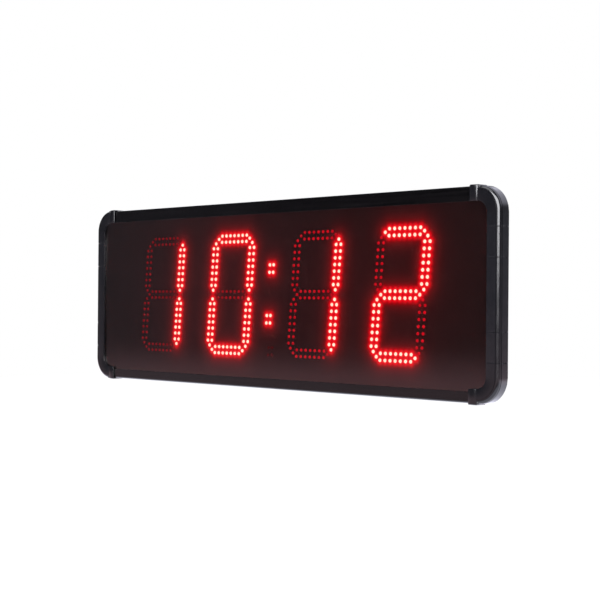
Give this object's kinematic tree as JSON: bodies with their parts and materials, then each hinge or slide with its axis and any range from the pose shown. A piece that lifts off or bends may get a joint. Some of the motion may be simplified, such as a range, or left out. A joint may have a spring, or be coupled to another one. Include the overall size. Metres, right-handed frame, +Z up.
{
  "type": "gym round timer",
  "caption": "Wall-hung LED round timer for a boxing gym: large red seven-segment digits behind a dark filter in a shallow black frame, with mains housing, buttons and hook-on bracket.",
  "frame": {"origin": "middle of the wall bracket's back face, where it meets the wall, at half the display's height", "axes": "+X to the right as seen from the front, +Y into the wall, +Z up; the display faces -Y"},
  "size_m": [0.934, 0.0633, 0.304],
  "materials": {
    "cap_plastic": "satin moulded ABS, fine spark texture",
    "rail_black": "black anodised aluminium extrusion, satin",
    "filter_red": "dark red tinted filter, glossy",
    "gasket_foam": "closed-cell foam, matte",
    "sheet_black": "fine-textured black powder coat",
    "zinc_steel": "zinc-plated sheet steel",
    "board_black": "black solder mask with red LEDs",
    "board_green": "green solder mask",
    "black_plastic": "black moulded nylon, satin",
    "aluminium": "mill-finish aluminium",
    "screw_black": "black zinc-plated steel",
    "button_red": "red moulded plastic, satin",
    "cable_grey": "grey PVC insulation",
    "battery_steel": "polished steel can"
  },
  "bodies": {
    "bracket": {"wall_bracket": "zinc_steel"},
    "display": {"backup_battery": "battery_steel", "bottom_rail": "rail_black", "bottom_rail_screw": "screw_black", "button_board": "board_green", "button_guide": "black_plastic", "colon_board": "board_black", "control_board": "board_green", "control_carrier": "black_plastic", "digit_board_1": "board_black", "digit_board_2": "board_black", "digit_board_3": "board_black", "digit_board_4": "board_black", "display_ribbon": "cable_grey", "face_plate": "board_black", "filter_gasket": "gasket_foam", "front_filter": "filter_red", "housing_screw_1": "screw_black", "housing_screw_2": "screw_black", "housing_screw_3": "screw_black", "housing_screw_4": "screw_black", "left_lower_corner": "cap_plastic", "left_lower_corner_screw": "screw_black", "left_lower_spacer": "cap_plastic", "left_lower_spacer_screw": "screw_black", "left_middle_spacer": "cap_plastic", "left_middle_spacer_screw": "screw_black", "left_upper_corner": "cap_plastic", "left_upper_corner_screw": "screw_black", "left_upper_spacer": "cap_plastic", "left_upper_spacer_screw": "screw_black", "lower_board_rail": "aluminium", "mains_lead": "cable_grey", "power_inlet": "black_plastic", "power_lead": "cable_grey", "rear_housing": "sheet_black", "rear_panel": "sheet_black", "remote_receiver": "black_plastic", "right_lower_corner": "cap_plastic", "right_lower_corner_screw": "screw_black", "right_lower_spacer": "cap_plastic", "right_lower_spacer_screw": "screw_black", "right_middle_spacer": "cap_plastic", "right_middle_spacer_screw": "screw_black", "right_upper_corner": "cap_plastic", "right_upper_corner_screw": "screw_black", "right_upper_spacer": "cap_plastic", "right_upper_spacer_screw": "screw_black", "sounder": "black_plastic", "supply_board": "board_green", "supply_case": "aluminium", "switch_body": "black_plastic", "terminal_block": "black_plastic", "top_rail": "rail_black", "top_rail_screw": "screw_black", "upper_board_rail": "aluminium"},
    "power_rocker_body": {"power_rocker": "black_plastic"},
    "mode_button_body": {"mode_button": "black_plastic"},
    "adjust_button_body": {"adjust_button": "black_plastic"},
    "start_button_body": {"start_button": "button_red"}
  },
  "joints": [
    {"name": "display_lift", "type": "slide", "parent": "bracket", "child": "display", "axis": [0, 0, 1], "range_m": [0, 0.012]},
    {"name": "power_rocker_tilt", "type": "hinge", "parent": "display", "child": "power_rocker_body", "pos_m": [-0.155, -0.0215, -0.089], "axis": [0, 1, 0], "range_deg": [0, 20]},
    {"name": "mode_button_press", "type": "slide", "parent": "display", "child": "mode_button_body", "axis": [0, 0, 1], "range_m": [0, 0.0012], "stiffness_N_per_m": 1500, "springref_m": -0.0006},
    {"name": "adjust_button_press", "type": "slide", "parent": "display", "child": "adjust_button_body", "axis": [0, 0, 1], "range_m": [0, 0.0012], "stiffness_N_per_m": 1500, "springref_m": -0.0006},
    {"name": "start_button_press", "type": "slide", "parent": "display", "child": "start_button_body", "axis": [0, 0, 1], "range_m": [0, 0.0012], "stiffness_N_per_m": 1500, "springref_m": -0.0006}
  ]
}
